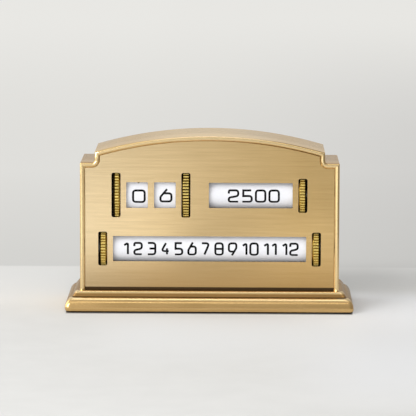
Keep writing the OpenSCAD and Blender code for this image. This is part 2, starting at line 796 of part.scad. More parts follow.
module tens_drum() color(plastic) on_axis(digit_y, upper_z, tens_face)
    drum(digit_drum_r, digit_drum_l, digit_drum_l);

module tens_label() color(paper) on_axis(digit_y, upper_z, tens_face) label(digit_drum_r, digit_drum_l);

module tens_wheel() color(wheel_brass) on_axis_back(digit_y, upper_z, tens_face)
    thumbwheel(digit_wheel_r, digit_teeth);

module ones_drum() color(plastic) on_axis_back(digit_y, upper_z, ones_face)
    drum(digit_drum_r, digit_drum_l, digit_drum_l);

module ones_label() color(paper) on_axis_back(digit_y, upper_z, ones_face) label(digit_drum_r, digit_drum_l);

module ones_wheel() color(wheel_brass) on_axis(digit_y, upper_z, ones_face)
    thumbwheel(digit_wheel_r, digit_teeth);

module unit_drum() color(plastic) on_axis_back(small_y, upper_z, unit_face)
    drum(small_drum_r, unit_drum_l, 2*plug_l);

// Plug in the open end of the unit drum, with a boss that reaches the centre bracket
module unit_cap() color(plastic) on_axis(small_y, upper_z, unit_end) {
    difference() {
        union() {
            cylinder(r = small_drum_r - drum_wall - run_fit, h = plug_l);
            translate([0, 0, centre_web_out + clip_gap - unit_end])
                cylinder(r = spacer_r, h = unit_end - centre_web_out);
        }
        translate([0, 0, centre_web_out - unit_end])
            cylinder(r = bore_r, h = unit_end - centre_web_out + plug_l + bite);
    }
}

module unit_label() color(paper) on_axis_back(small_y, upper_z, unit_face) label(small_drum_r, unit_drum_l);

module unit_wheel() color(wheel_brass) on_axis(small_y, upper_z, unit_face)
    thumbwheel(small_wheel_r, small_teeth);

module message_spindle() color(steel) on_axis(small_y, lower_z, -spindle_l/2) axle(0, spindle_l, []);

module message_tube() color(plastic) on_axis(small_y, lower_z, -message_tube_l/2)
    tube(small_drum_r, small_drum_r - drum_wall, message_tube_l);

// End cap of the message tube, seen from its wheel: flange, plug in the tube and spigot for the wheel
module message_cap() {
    difference() {
        union() {
            cylinder(r = small_drum_r, h = drum_end);
            cylinder(r = small_drum_r - drum_wall - run_fit, h = drum_end + plug_l);
            mirror([0, 0, 1]) spigot(wheel_t, 0);
        }
        translate([0, 0, -wheel_t - bite]) cylinder(r = bore_r, h = wheel_t + drum_end + plug_l + 2*bite);
    }
}

module message_left_cap() color(plastic) on_axis(small_y, lower_z, -message_face) message_cap();

module message_right_cap() color(plastic) on_axis_back(small_y, lower_z, message_face) message_cap();

module message_label() color(paper) on_axis(small_y, lower_z, -message_tube_l/2)
    label(small_drum_r, message_tube_l);

module message_left_wheel() color(wheel_brass) on_axis_back(small_y, lower_z, -message_face)
    thumbwheel(small_wheel_r, small_teeth);

module message_right_wheel() color(wheel_brass) on_axis(small_y, lower_z, message_face)
    thumbwheel(small_wheel_r, small_teeth);

plinth();
base_plate();
base_pad();
base_screws();
hood();
hood_screws();
front_panel();
left_bracket();
centre_bracket();
right_bracket();
pillars();
bracket_nuts();
back_cover();
cover_screws();
digit_axle();
unit_axle();
axle_clips();
left_spacer();
centre_spacer();
right_spacer();
drum_washer();
spring_washers();
left_bush();
right_bush();
tens_drum();
tens_label();
tens_wheel();
ones_drum();
ones_label();
ones_wheel();
unit_drum();
unit_cap();
unit_label();
unit_wheel();
message_spindle();
message_tube();
message_left_cap();
message_right_cap();
message_label();
message_left_wheel();
message_right_wheel();
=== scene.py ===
import math

import bmesh
import bpy
from mathutils import Matrix, Vector


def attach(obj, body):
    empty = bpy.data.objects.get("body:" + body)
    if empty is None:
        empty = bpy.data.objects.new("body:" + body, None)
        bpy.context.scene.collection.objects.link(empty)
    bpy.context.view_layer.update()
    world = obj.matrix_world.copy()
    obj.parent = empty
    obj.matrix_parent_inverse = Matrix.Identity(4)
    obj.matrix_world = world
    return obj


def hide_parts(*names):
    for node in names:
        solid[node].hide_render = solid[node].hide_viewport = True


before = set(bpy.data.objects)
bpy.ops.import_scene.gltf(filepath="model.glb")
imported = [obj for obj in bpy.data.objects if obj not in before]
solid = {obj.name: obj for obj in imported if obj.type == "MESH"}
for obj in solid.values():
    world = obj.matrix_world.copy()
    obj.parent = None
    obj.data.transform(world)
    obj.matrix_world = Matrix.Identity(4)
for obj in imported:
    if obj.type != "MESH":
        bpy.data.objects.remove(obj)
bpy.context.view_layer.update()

MM = 0.001

# Plinth: the foot under the case, cast hollow in brass with two steps, satin finished and lacquered.
# The lower step is rounded and drawn in at its edge, the upper one slopes out to its foot. The mitred
# corners are eased. Painted shade darkens the groove between the steps, the face of the upper step and
# the side runs, and painted highlight makes the rounded edges pale.
CASE_HALF_WIDTH = 85.25
CASE_HALF_DEPTH = 26.0
CORNER_EASE = 3.0
CORNER_STEPS = 6
DECK = 13.6
STEP_LINE_LOW, STEP_LINE_HIGH = 9.66, 10.12


def srgb(red, green, blue):
    """A colour as it looks on screen, 0 to 255, as the linear colour that a shader takes."""
    def linear(v):
        v /= 255
        return v / 12.92 if v <= 0.04045 else ((v + 0.055) / 1.055) ** 2.4
    return (linear(red), linear(green), linear(blue), 1.0)


def new_finish(name):
    """An empty material with its output and one principled shader."""
    finish = bpy.data.materials.new(name)
    finish.use_nodes = True
    tree = finish.node_tree
    tree.nodes.clear()
    out = tree.nodes.new("ShaderNodeOutputMaterial")
    skin = tree.nodes.new("ShaderNodeBsdfPrincipled")
    tree.links.new(skin.outputs["BSDF"], out.inputs["Surface"])
    return finish, tree, skin


def add(tree, kind, settings=None, **sockets):
    """One shader node with its settings and the values of its sockets."""
    node = tree.nodes.new(kind)
    for key, value in (settings or {}).items():
        setattr(node, key, value)
    for key, value in sockets.items():
        node.inputs[key.replace("_", " ")].default_value = value
    return node


def own_axes(tree):
    """The X, Y and Z of the shaded point in the piece's own space, in metres."""
    place = add(tree, "ShaderNodeTexCoord")
    axes = add(tree, "ShaderNodeSeparateXYZ")
    tree.links.new(place.outputs["Object"], axes.inputs["Vector"])
    return axes.outputs


def grain_noise(tree, scale, detail=3.0):
    """Noise in the piece's own space, stretched by a scale for each axis, in cycles per metre."""
    place = add(tree, "ShaderNodeTexCoord")
    stretch = add(tree, "ShaderNodeMapping", Scale=scale)
    noise = add(tree, "ShaderNodeTexNoise", Scale=1.0, Detail=detail, Roughness=0.55)
    tree.links.new(place.outputs["Object"], stretch.inputs["Vector"])
    tree.links.new(stretch.outputs["Vector"], noise.inputs["Vector"])
    return noise.outputs["Fac"]


def remap(tree, value, low, high, start=0.3, end=0.7):
    """A straight change from low to high as the value goes from start to end, for noise or a place."""
    spread = add(tree, "ShaderNodeMapRange", From_Min=start, From_Max=end, To_Min=low, To_Max=high)
    tree.links.new(value, spread.inputs["Value"])
    return spread.outputs["Result"]


def rise(tree, value, start, end, low=0.0, high=1.0):
    """The same change for a place in millimetres."""
    return remap(tree, value, low, high, start * MM, end * MM)


def combine(tree, operation, first, second):
    """Two values in one sum, product or the like, kept between 0 and 1."""
    node = add(tree, "ShaderNodeMath", {"operation": operation, "use_clamp": True})
    for socket, value in zip(node.inputs, (first, second)):
        if isinstance(value, float):
            socket.default_value = value
        else:
            tree.links.new(value, socket)
    return node.outputs["Value"]


def product(tree, first, *others):
    """Several masks multiplied into one."""
    for other in others:
        first = combine(tree, "MULTIPLY", first, other)
    return first


def band(tree, value, up, down):
    """A mask of 1 between two limits: it rises over up and falls over down, in millimetres."""
    return product(tree, rise(tree, value, *up), rise(tree, value, *down, 1.0, 0.0))


def blended(tree, value, first, second):
    """A colour from first to second by a value from 0 to 1, each of them plain or made by nodes."""
    mix = add(tree, "ShaderNodeMix", {"data_type": "RGBA"})
    tree.links.new(value, mix.inputs[0])
    for socket, colour in ((mix.inputs[6], first), (mix.inputs[7], second)):
        if isinstance(colour, tuple):
            socket.default_value = colour
        else:
            tree.links.new(colour, socket)
    return mix.outputs[2]


def relief(tree, skin, height, strength, distance):
    """A fine relief in the finish that follows a noise."""
    bump = add(tree, "ShaderNodeBump", Strength=strength, Distance=distance)
    tree.links.new(height, bump.inputs["Height"])
    tree.links.new(bump.outputs["Normal"], skin.inputs["Normal"])


def brass(name, light, dark, brush, cloud, roughness, depth=0.3, grazing=(1.0, 0.9, 0.74), coat=0.35):
    """Lacquered brass: fine brush lines, and slow changes of tone, gloss and flatness."""
    finish, tree, metal = new_finish(name)
    metal.inputs["Metallic"].default_value = 1.0
    metal.inputs["Specular Tint"].default_value = (*grazing, 1.0)
    metal.inputs["Coat Weight"].default_value = coat
    metal.inputs["Coat Roughness"].default_value = 0.14
    lines = grain_noise(tree, brush)
    clouds = grain_noise(tree, cloud)
    tone = add(tree, "ShaderNodeMath", {"operation": "ADD"})
    tree.links.new(remap(tree, lines, -depth, depth), tone.inputs[0])
    tree.links.new(remap(tree, clouds, 0.36, 0.64), tone.inputs[1])
    colour = blended(tree, tone.outputs["Value"], dark, light)
    tree.links.new(colour, metal.inputs["Base Color"])
    tree.links.new(remap(tree, clouds, roughness - 0.03, roughness + 0.04), metal.inputs["Roughness"])
    relief(tree, metal, clouds, 1.0, 1e-5)
    return finish, tree, metal, colour, tone.outputs["Value"]


def wear(node, finish):
    """Gives a CAD piece its finish."""
    mesh = solid[node].data
    mesh.materials.clear()
    mesh.materials.append(finish)


def piece(name, mesh, crease):
    """An object from a finished mesh, smooth but for the edges sharper than crease degrees."""
    data = bpy.data.meshes.new(name)
    mesh.normal_update()
    mesh.to_mesh(data)
    mesh.free()
    for face in data.polygons:
        face.use_smooth = True
    data.set_sharp_from_angle(angle=math.radians(crease))
    made = bpy.data.objects.new(name, data)
    bpy.context.scene.collection.objects.link(made)
    return made


def arc(cx, cz, r, a0, a1, n):
    """Points of an arc in a section, angles in degrees."""
    return [(cx + r * math.cos(math.radians(a0 + (a1 - a0) * i / n)),
             cz + r * math.sin(math.radians(a0 + (a1 - a0) * i / n))) for i in range(n + 1)]


def plinth_section():
    """The moulding from its lower edge up to the deck: reach beyond the case, height."""
    points = [(8.8, 0.75), (9.2, 0.85), (9.5, 1.25), (9.7, 2.1)]
    points += arc(1.95, 2.8, 7.8, 0, 31.7, 8)
    points += arc(0.333, 1.8, 9.7, 35, 47, 4)
    points += arc(5.038, 6.847, 2.8, 53, 88, 6)
    points += [(4.7, STEP_LINE_LOW), (4.7, 10.1), (5.15, 10.2)]
    points += arc(1.6, 11.6, 2.0, 33, 90, 8)
    points += [(0.3, DECK), (-6.0, DECK)]
    return points


def corner_radius(reach):
    """The ease of a corner, which tightens where the section draws in towards the case."""
    return max(0.2, CORNER_EASE + 0.3 * min(0.0, reach - 3.0))


def moulding(name, section):
    """A section swept round the case's rectangle, with its corners eased."""
    mesh = bmesh.new()
    rings = []
    for reach, height in section:
        r = corner_radius(reach)
        hx, hy = CASE_HALF_WIDTH + reach - r, CASE_HALF_DEPTH + reach - r
        ring = []
        for cx, cy, start in ((1, -1, -90), (1, 1, 0), (-1, 1, 90), (-1, -1, 180)):
            for i in range(CORNER_STEPS + 1):
                a = math.radians(start + 90 * i / CORNER_STEPS)
                x, y = cx * hx + r * math.cos(a), cy * hy + r * math.sin(a)
                ring.append(mesh.verts.new((x * MM, y * MM, height * MM)))
        rings.append(ring)
    for low, high in zip(rings, rings[1:]):
        for i in range(len(low)):
            j = (i + 1) % len(low)
            mesh.faces.new((low[i], low[j], high[j], high[i]))
    mesh.faces.new(rings[-1])
    mesh.faces.new(list(reversed(rings[0])))
    return piece(name, mesh, 38)


PLINTH_BRASS, tree, metal, colour, _ = brass(
    "plinth_brass", srgb(222, 185, 125), srgb(200, 163, 102), (20, 300, 900), (24, 24, 40), 0.2,
    grazing=(1.0, 0.97, 0.92))
axes = own_axes(tree)
# Painted shade darkens the sloping face of the upper step, and painted highlight makes the rounded edges of
# both steps pale.
painted_face_shade = band(tree, axes["Z"], (9.8, 10.1), (11.6, 12.2))
painted_edge_highlight = combine(tree, "MAXIMUM", band(tree, axes["Z"], (7.6, 8.7), (9.6, 9.7)),
                 rise(tree, axes["Z"], 12.0, 12.6))
face_shaded = blended(tree, painted_face_shade, colour, srgb(168, 128, 72))
tree.links.new(blended(tree, painted_edge_highlight, face_shaded, srgb(234, 205, 154)), metal.inputs["Base Color"])
# A dark brass that paints the shade in the groove between the steps and in the crease behind the rim.
CREASE_SHADE = brass(
    "crease_shade_brass", srgb(104, 78, 38), srgb(74, 54, 26), (60, 60, 60), (200, 200, 200), 0.42)[0]
# A duller, greyer brass for the side runs of the plinth: painted shade, as they reflect a darker surround.
SHADED_SIDE_BRASS = brass(
    "shaded_side_brass", srgb(206, 169, 110), srgb(184, 147, 90), (300, 20, 900), (24, 24, 40), 0.24,
    grazing=(0.64, 0.61, 0.57), coat=0.0)[0]
foot = moulding("plinth_casting", plinth_section())
for finish in (PLINTH_BRASS, CREASE_SHADE, SHADED_SIDE_BRASS):
    foot.data.materials.append(finish)
# The faces of the groove take the dark brass of painted shade, and the side runs the greyer brass of
# painted shade.
for face in foot.data.polygons:
    if STEP_LINE_LOW * MM < face.center.z < STEP_LINE_HIGH * MM:
        face.material_index = 1
    elif abs(face.center.x) > CASE_HALF_WIDTH * MM and abs(face.normal.y) < 0.05:
        face.material_index = 2
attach(foot, "case")
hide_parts("plinth")

# Base plate and pad: a black painted steel sheet closes the plinth from below, held by four
# countersunk screws, and a sheet of black felt glued under the rim keeps it from scratching.
PAD_SECTION = [(8.7, 0.0), (8.9, 0.06), (8.95, 0.3), (8.95, 0.75), (8.85, 0.8)]


def mottled(tree, noise, dark, light):
    """A colour that wanders between two with a noise."""
    return blended(tree, remap(tree, noise, 0.0, 1.0), dark, light)


def turned_steel(name, light, dark, roughness):
    """Zinc-plated steel with fine turning marks and a cloudy plating."""
    finish, tree, metal = new_finish(name)
    metal.inputs["Metallic"].default_value = 1.0
    marks = grain_noise(tree, (2400, 500, 500))
    cloud = grain_noise(tree, (160, 160, 160), 2.0)
    tree.links.new(mottled(tree, cloud, dark, light), metal.inputs["Base Color"])
    tree.links.new(remap(tree, marks, roughness - 0.06, roughness + 0.08), metal.inputs["Roughness"])
    relief(tree, metal, marks, 0.4, 6e-6)
    return finish


BLACK_SHEET, tree, paint = new_finish("black_sheet")
paint.inputs["Roughness"].default_value = 0.5
speck = grain_noise(tree, (1400, 1400, 1400), 2.0)
tree.links.new(mottled(tree, speck, srgb(26, 24, 23), srgb(40, 37, 35)), paint.inputs["Base Color"])
relief(tree, paint, speck, 0.3, 2e-5)
wear("base_plate", BLACK_SHEET)

FELT, tree, nap = new_finish("felt")
nap.inputs["Roughness"].default_value = 0.95
nap.inputs["Specular IOR Level"].default_value = 0.1
fibre = grain_noise(tree, (2600, 2600, 2600), 4.0)
tree.links.new(mottled(tree, fibre, srgb(8, 6, 5), srgb(20, 17, 15)), nap.inputs["Base Color"])
relief(tree, nap, fibre, 0.7, 1e-4)
pad = moulding("felt_pad", PAD_SECTION)
pad.data.materials.append(FELT)
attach(pad, "case")
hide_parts("base_pad")

ZINC = turned_steel("zinc_steel", srgb(214, 215, 214), srgb(176, 178, 180), 0.34)
wear("base_screws", ZINC)

# Hood: the clock-shaped case, one brass casting open at the back. A rounded rim runs round its front and
# follows the stepped shoulders and the arch. Painted highlight makes the rim's crest and the top of the
# arch pale, and painted shade darkens the ledges of the shoulders, the outer round of the rim right of the
# arch and the crease behind the rim. Four screws from below hold the hood down.
SHOULDER, CROWN = 97.99, 115.89
SHOULDER_EASE = 0.7
STEP_HALF_WIDTH, STEP_FILLET = 75.55, 1.8
ARCH_RADIUS, ARCH_STEPS = 269.65, 28
RIM_FRONT, PANEL_FRONT, CASE_REAR = -26.0, -24.5, 26.0
RIM_CREST, RIM_ROUND, RIM_SLOPE, RIM_STEPS = 1.45, 1.3, 1.95, 8
SLOPE_BULGE = 0.4
WALL = 1.8
CREASE_SHADE_DEPTH = 0.22


def half_outline(d):
    """The right half of the case's outline, drawn in by d: from the crown down to the deck."""
    low = CROWN - ARCH_RADIUS
    points = []
    for i in range(ARCH_STEPS + 1):
        x = (STEP_HALF_WIDTH - d) * i / ARCH_STEPS
        points.append((x, low + math.sqrt((ARCH_RADIUS - d) ** 2 - x ** 2)))
    points += arc(STEP_HALF_WIDTH + STEP_FILLET, SHOULDER + STEP_FILLET, STEP_FILLET + d, 180, 270, 10)
    r = max(SHOULDER_EASE - d, 0.02)
    points += arc(CASE_HALF_WIDTH - d - r, SHOULDER - d - r, r, 90, 0, 4)
    points.append((CASE_HALF_WIDTH - d, DECK))
    return points


def rim_stations():
    """Round the wall of the hood: inset and depth, over the rim from the back to the inside."""
    stations = [(0.25, CASE_REAR), (0.06, CASE_REAR - 0.08), (0.0, CASE_REAR - 0.3), (0.0, RIM_FRONT + 3.0)]
    for i in range(RIM_STEPS):
        a = math.radians(90 - 90 * i / RIM_STEPS)
        stations.append((RIM_CREST * (1 - math.sin(a)), RIM_FRONT + RIM_ROUND * (1 - math.cos(a))))
    for i in range(RIM_STEPS + 1):
        a = math.radians(90 * i / RIM_STEPS)
        straight = (1 - SLOPE_BULGE) * i / RIM_STEPS
        inward = SLOPE_BULGE * math.sin(a) + straight
        back = SLOPE_BULGE * (1 - math.cos(a)) + straight
        stations.append((RIM_CREST + RIM_SLOPE * inward, RIM_FRONT + (PANEL_FRONT - RIM_FRONT) * back))
    return stations + [(WALL, PANEL_FRONT), (WALL, CASE_REAR - 0.3), (WALL - 0.2, CASE_REAR)]


def hood_shell(name):
    """The outline lofted through the stations of the wall, from the left foot to the right foot."""
    mesh = bmesh.new()
    rows = []
    for d, y in rim_stations():
        half = half_outline(d)
        outline = [(-x, z) for x, z in reversed(half[1:])] + half
        rows.append([mesh.verts.new((x * MM, y * MM, z * MM)) for x, z in outline])
    for a, b in zip(rows, rows[1:] + rows[:1]):
        for i in range(len(a) - 1):
            mesh.faces.new((a[i], a[i + 1], b[i + 1], b[i]))
    for end in (0, -1):
        mesh.faces.new([row[end] for row in rows])
    bmesh.ops.recalc_face_normals(mesh, faces=mesh.faces)
    return piece(name, mesh, 40)


HOOD_BRASS, tree, metal, colour, _ = brass(
    "hood_brass", srgb(232, 199, 143), srgb(212, 178, 119), (20, 300, 900), (24, 24, 40), 0.2,
    grazing=(0.98, 0.86, 0.64), coat=0.2)
axes = own_axes(tree)
# Painted shade on the shoulder ledges and on the outer round of the rim right of the arch; painted
# highlight on the top of the arch and on the rim's crest.
ledge_shade = band(tree, axes["Z"], (97.6, 97.9), (98.1, 100))
right_rim_shade = product(tree, band(tree, axes["Y"], (-25.5, -25.3), (-24.5, -23.8)),
                    rise(tree, axes["X"], -10, 60, 0.0, 0.85), rise(tree, axes["Z"], 98.5, 99.5))
crown = rise(tree, axes["Z"], 111.5, 115.5)
crest = rise(tree, axes["Y"], -25.9, -25.5, 1.0, 0.0)
for mask, shade in ((ledge_shade, srgb(184, 141, 74)), (right_rim_shade, srgb(120, 86, 36)),
                    (crown, srgb(252, 228, 190)), (crest, srgb(236, 208, 156))):
    colour = blended(tree, mask, colour, shade)
tree.links.new(colour, metal.inputs["Base Color"])
hood = hood_shell("hood_casting")
hood.data.materials.append(HOOD_BRASS)
hood.data.materials.append(CREASE_SHADE)
# The strip just behind the rim takes the dark brass: painted shade in the crease against the panel.
for face in hood.data.polygons:
    if (PANEL_FRONT - CREASE_SHADE_DEPTH) * MM < face.center.y < PANEL_FRONT * MM:
        face.material_index = 1
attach(hood, "case")
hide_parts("hood")
wear("hood_screws", ZINC)

# Front panel: brass sheet behind the rim, stamped with four windows and five slots for the wheels,
# brushed from side to side and lacquered. Painted highlight makes it paler towards the left, painted shade
# darkens it towards its foot, and a painted shadow makes its sill nearly black. Its studs carry the
# movement.
PANEL_BRASS, tree, metal, colour, tone = brass(
    "panel_brass", srgb(231, 197, 137), srgb(206, 172, 112), (30, 30, 900), (11, 11, 24), 0.23, depth=0.22)
axes = own_axes(tree)
# Painted highlight towards the left, painted shade towards the foot, and a painted shadow on the sill.
left = rise(tree, axes["X"], -80, 60, 1.0, 0.0)
foot_shade = product(tree, rise(tree, axes["Z"], 12, 50, 0.68, 0.0),
                     rise(tree, axes["X"], -82, -35, 0.5, 1.0))
sill_shadow = product(tree, rise(tree, axes["Y"], -24.15, -24.0), rise(tree, axes["Z"], 15.7, 16.0, 1.0, 0.0))
left_highlight_brass = blended(tree, tone, srgb(201, 179, 138), srgb(226, 203, 163))
for mask, shade in ((left, left_highlight_brass), (foot_shade, srgb(175, 133, 70)), (sill_shadow, srgb(70, 50, 22))):
    colour = blended(tree, mask, colour, shade)
tree.links.new(colour, metal.inputs["Base Color"])
wear("front_panel", PANEL_BRASS)

# Movement frame: three bent steel brackets on the studs of the panel, clamped by hexagon pillars
# that reach the back cover and, in the middle, by two nuts. All are zinc plated.
for node in ("left_bracket", "centre_bracket", "right_bracket", "pillars", "bracket_nuts"):
    wear(node, ZINC)


# Axles and bearings: two fixed steel axles with clips, the spindle of the message roller, plastic
# spacers and bushes, and dished spring washers that hold each roller where it is turned.
def moulded_plastic(name, light, dark, roughness):
    """Injection-moulded plastic with a fine eroded texture."""
    finish, tree, plastic = new_finish(name)
    plastic.inputs["Roughness"].default_value = roughness
    texture = grain_noise(tree, (1800, 1800, 1800))
    tree.links.new(mottled(tree, texture, dark, light), plastic.inputs["Base Color"])
    relief(tree, plastic, texture, 0.25, 1.5e-5)
    return finish


ACETAL = moulded_plastic("dark_plastic", srgb(74, 74, 76), srgb(58, 58, 60), 0.45)
for node in ("digit_axle", "unit_axle", "axle_clips", "spring_washers", "message_spindle"):
    wear(node, ZINC)
for node in ("left_spacer", "centre_spacer", "right_spacer", "drum_washer", "left_bush", "right_bush"):
    wear(node, ACETAL)

# Drums: white moulded rollers. The digit drums are ribbed inside, the unit drum is closed by a
# plug, and the message roller is a tube between two caps on its own spindle.
DRUM_WHITE = moulded_plastic("white_plastic", srgb(238, 237, 232), srgb(226, 225, 220), 0.5)
for node in ("tens_drum", "ones_drum", "unit_drum", "unit_cap",
             "message_tube", "message_left_cap", "message_right_cap"):
    wear(node, DRUM_WHITE)

# Printed bands: smooth white paper glued round the drums, with plain numbers in a thin face with
# round corners. The print is a film of black ink that turns with its drum.
CAP = 7.7
STROKE = 1.38
STROKE_ROUND = 1.9
STROKE_STEP = 0.8
INK_LIFT = 0.03
NUMBER_SPACE = 4.0
DIGIT_AXIS, UNIT_AXIS, MESSAGE_AXIS = (-1.3, 76.59), (-11.4, 76.59), (-11.4, 41.0)
DIGIT_BAND, SMALL_BAND = 21.3, 11.2

LABEL_WHITE, tree, paper = new_finish("label_paper")
paper.inputs["Roughness"].default_value = 0.62
paper.inputs["Specular IOR Level"].default_value = 0.25
pulp = grain_noise(tree, (900, 900, 900), 4.0)
tree.links.new(mottled(tree, pulp, srgb(199, 200, 205), srgb(205, 206, 211)), paper.inputs["Base Color"])
relief(tree, paper, pulp, 0.15, 1e-5)
for node in ("tens_label", "ones_label", "unit_label", "message_label"):
    wear(node, LABEL_WHITE)

INK, tree, print_black = new_finish("print_ink")
print_black.inputs["Roughness"].default_value = 0.6
print_black.inputs["Specular IOR Level"].default_value = 0.1
blot = grain_noise(tree, (1500, 1500, 1500), 2.0)
tree.links.new(mottled(tree, blot, srgb(7, 7, 8), srgb(16, 15, 17)), print_black.inputs["Base Color"])


def numeral(figure, w, h):
    """The strokes of one figure in a box w wide and h high: (points, closed) for each stroke."""
    bowl = 0.71 * h
    mid = 0.52 * h
    return {
        "0": [([(0, 0), (w, 0), (w, h), (0, h)], True)],
        "1": [([(0.05 * w, 0.8 * h), (0.55 * w, h), (0.55 * w, 0)], False)],
        "2": [([(0, 0.72 * h), (0, h), (w, h), (w, mid), (0, mid * 0.72), (0, 0), (w, 0)], False)],
        "3": [([(0, h), (w, h), (w, 0), (0, 0)], False),
              ([(0.22 * w, mid), (w, mid)], False)],
        "4": [([(0.62 * w, h), (0, 0.3 * h), (w, 0.3 * h)], False),
              ([(0.76 * w, 0.55 * h), (0.76 * w, 0)], False)],
        "5": [([(0.94 * w, h), (0.03 * w, h)], False),
              ([(0.1 * w, 1.08 * h), (0.1 * w, mid - 0.1 * h)], False),
              ([(0.1 * w, mid), (w, mid), (w, 0), (0, 0)], False)],
        "6": [([(0.6 * w, 1.07 * h), (0, 0.4 * h), (0, 0), (w, 0), (w, bowl), (0.28 * w, bowl)], False)],
        "7": [([(0, h), (w, h), (0.34 * w, 0)], False)],
        "8": [([(0, 0), (w, 0), (w, h), (0, h)], True),
              ([(0, mid), (w, mid)], False)],
        "9": [([(0.4 * w, -0.07 * h), (w, 0.6 * h), (w, h), (0, h), (0, h - bowl), (0.72 * w, h - bowl)],
               False)],
    }[figure]


def rounded_path(points, closed):
    """A stroke's middle line with its corners rounded, in steps short enough to bend round a drum."""
    count = len(points)
    line = []
    for i, p in enumerate(points):
        p = Vector(p)
        if not closed and i in (0, count - 1):
            line.append(p)
            continue
        before, after = Vector(points[i - 1]) - p, Vector(points[(i + 1) % count]) - p
        turn = before.angle(after)
        cut = min(STROKE_ROUND / math.tan(turn / 2), before.length * 0.48, after.length * 0.48)
        for k in range(7):
            t = k / 6
            line.append(p + before.normalized() * cut * (1 - t) ** 2 + after.normalized() * cut * t ** 2)
    if closed:
        line.append(line[0])
    fine = [line[0]]
    for a, b in zip(line, line[1:]):
        parts = max(1, math.ceil((b - a).length / STROKE_STEP))
        fine += [a.lerp(b, k / parts) for k in range(1, parts + 1)]
    return fine


def stroke_sides(line, closed):
    """The two sides of a stroke, point by point along its middle line."""
    last = len(line) - 1
    sides = []
    for i, p in enumerate(line):
        behind = p - line[max(i - 1, 0)]
        ahead = line[min(i + 1, last)] - p
        if closed and i == 0:
            behind = p - line[-2]
        if closed and i == last:
            ahead = line[1] - p
        along = (ahead.normalized() + behind.normalized()).normalized()
        across = Vector((-along.y, along.x)) * STROKE / 2
        sides.append((p + across, p - across))
    return sides


def figure_width(figure, w):
    """How much of a row a figure takes: the 1 is narrow."""
    return 0.6 * w if figure == "1" else w


def row_width(row, w, gap):
    """The length of a row of numbers, with a gap between figures and a space between numbers."""
    numbers = row.split(" ")
    total = NUMBER_SPACE * (len(numbers) - 1)
    for number in numbers:
        total += sum(figure_width(f, w) for f in number) + gap * (len(number) - 1)
    return total


def print_row(mesh, row, middle, w, gap, axis, radius, angle, drop):
    """Prints a row across a drum, centred on x = middle, at an angle from the front."""
    r = radius + INK_LIFT
    x = middle - row_width(row, w, gap) / 2
    for number in row.split(" "):
        for figure in number:
            for points, closed in numeral(figure, w, CAP):
                edges = []
                for pair in stroke_sides(rounded_path(points, closed), closed):
                    turns = [angle + (q.y - CAP / 2 - drop) / radius for q in pair]
                    edges.append([mesh.verts.new(Vector((
                        x + q.x, axis[0] - r * math.cos(phi), axis[1] + r * math.sin(phi))) * MM)
                        for q, phi in zip(pair, turns)])
                for a, b in zip(edges, edges[1:]):
                    mesh.faces.new((a[0], a[1], b[1], b[0]))
            x += figure_width(figure, w) + gap
        x += NUMBER_SPACE - gap


def printed(name, rows, body, middle, w, gap, axis, radius, drop):
    """All the rows of one band as a film of ink that turns with its roller."""
    mesh = bmesh.new()
    for i, row in enumerate(rows):
        print_row(mesh, row, middle, w, gap, axis, radius, -2 * math.pi * i / len(rows), drop)
    film = piece(name, mesh, 60)
    film.data.materials.append(INK)
    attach(film, body)


printed("tens_print", "0123456789", "tens_roller", -46.6, 7.6, 1.2, DIGIT_AXIS, DIGIT_BAND, 1.05)
printed("ones_print", "6789012345", "ones_roller", -28.8, 7.2, 1.2, DIGIT_AXIS, DIGIT_BAND, 0.6)
printed("unit_print", ["2500", "5000", "7500", "1000"], "unit_roller",
        29.0, 6.2, 2.7, UNIT_AXIS, SMALL_BAND, 0.65)
printed("message_print", ["1 2 3 4 5 6 7 8 9 10 11 12", "13 14 15 16 17 18 19",
                          "20 21 22 23 24 25 26", "27 28 29 30 31"], "message_roller",
        0.8, 4.9, 2.3, MESSAGE_AXIS, SMALL_BAND, 0.3)

# Thumbwheels: turned brass discs with a coarse straight knurl and bevelled edges, pressed on the
# flatted spigots of the drums and caps. They are yellower than the case. Painted shade darkens the grooves
# between the teeth, and a painted shadow darkens one outer edge of each wheel.
DIGIT_WHEEL, SMALL_WHEEL = 25.2, 15.1
TOOTH_DEPTH = 0.6
EDGE_BLUR = 0.2
# Colours of the painted shade in the grooves: paler on most wheels, deeper on the ones wheel.
PALE_GROOVE_SHADE, DEEP_GROOVE_SHADE = srgb(158, 128, 56), srgb(70, 52, 20)


def distance(tree, centre, share):
    """How far the shaded point is from a centre, counting a share of each axis."""
    place = add(tree, "ShaderNodeTexCoord")
    shift = add(tree, "ShaderNodeVectorMath", {"operation": "SUBTRACT"})
    flat = add(tree, "ShaderNodeVectorMath", {"operation": "MULTIPLY"})
    far = add(tree, "ShaderNodeVectorMath", {"operation": "LENGTH"})
    shift.inputs[1].default_value = centre
    flat.inputs[1].default_value = share
    tree.links.new(place.outputs["Object"], shift.inputs[0])
    tree.links.new(shift.outputs["Vector"], flat.inputs[0])
    tree.links.new(flat.outputs["Vector"], far.inputs[0])
    return far.outputs["Value"]


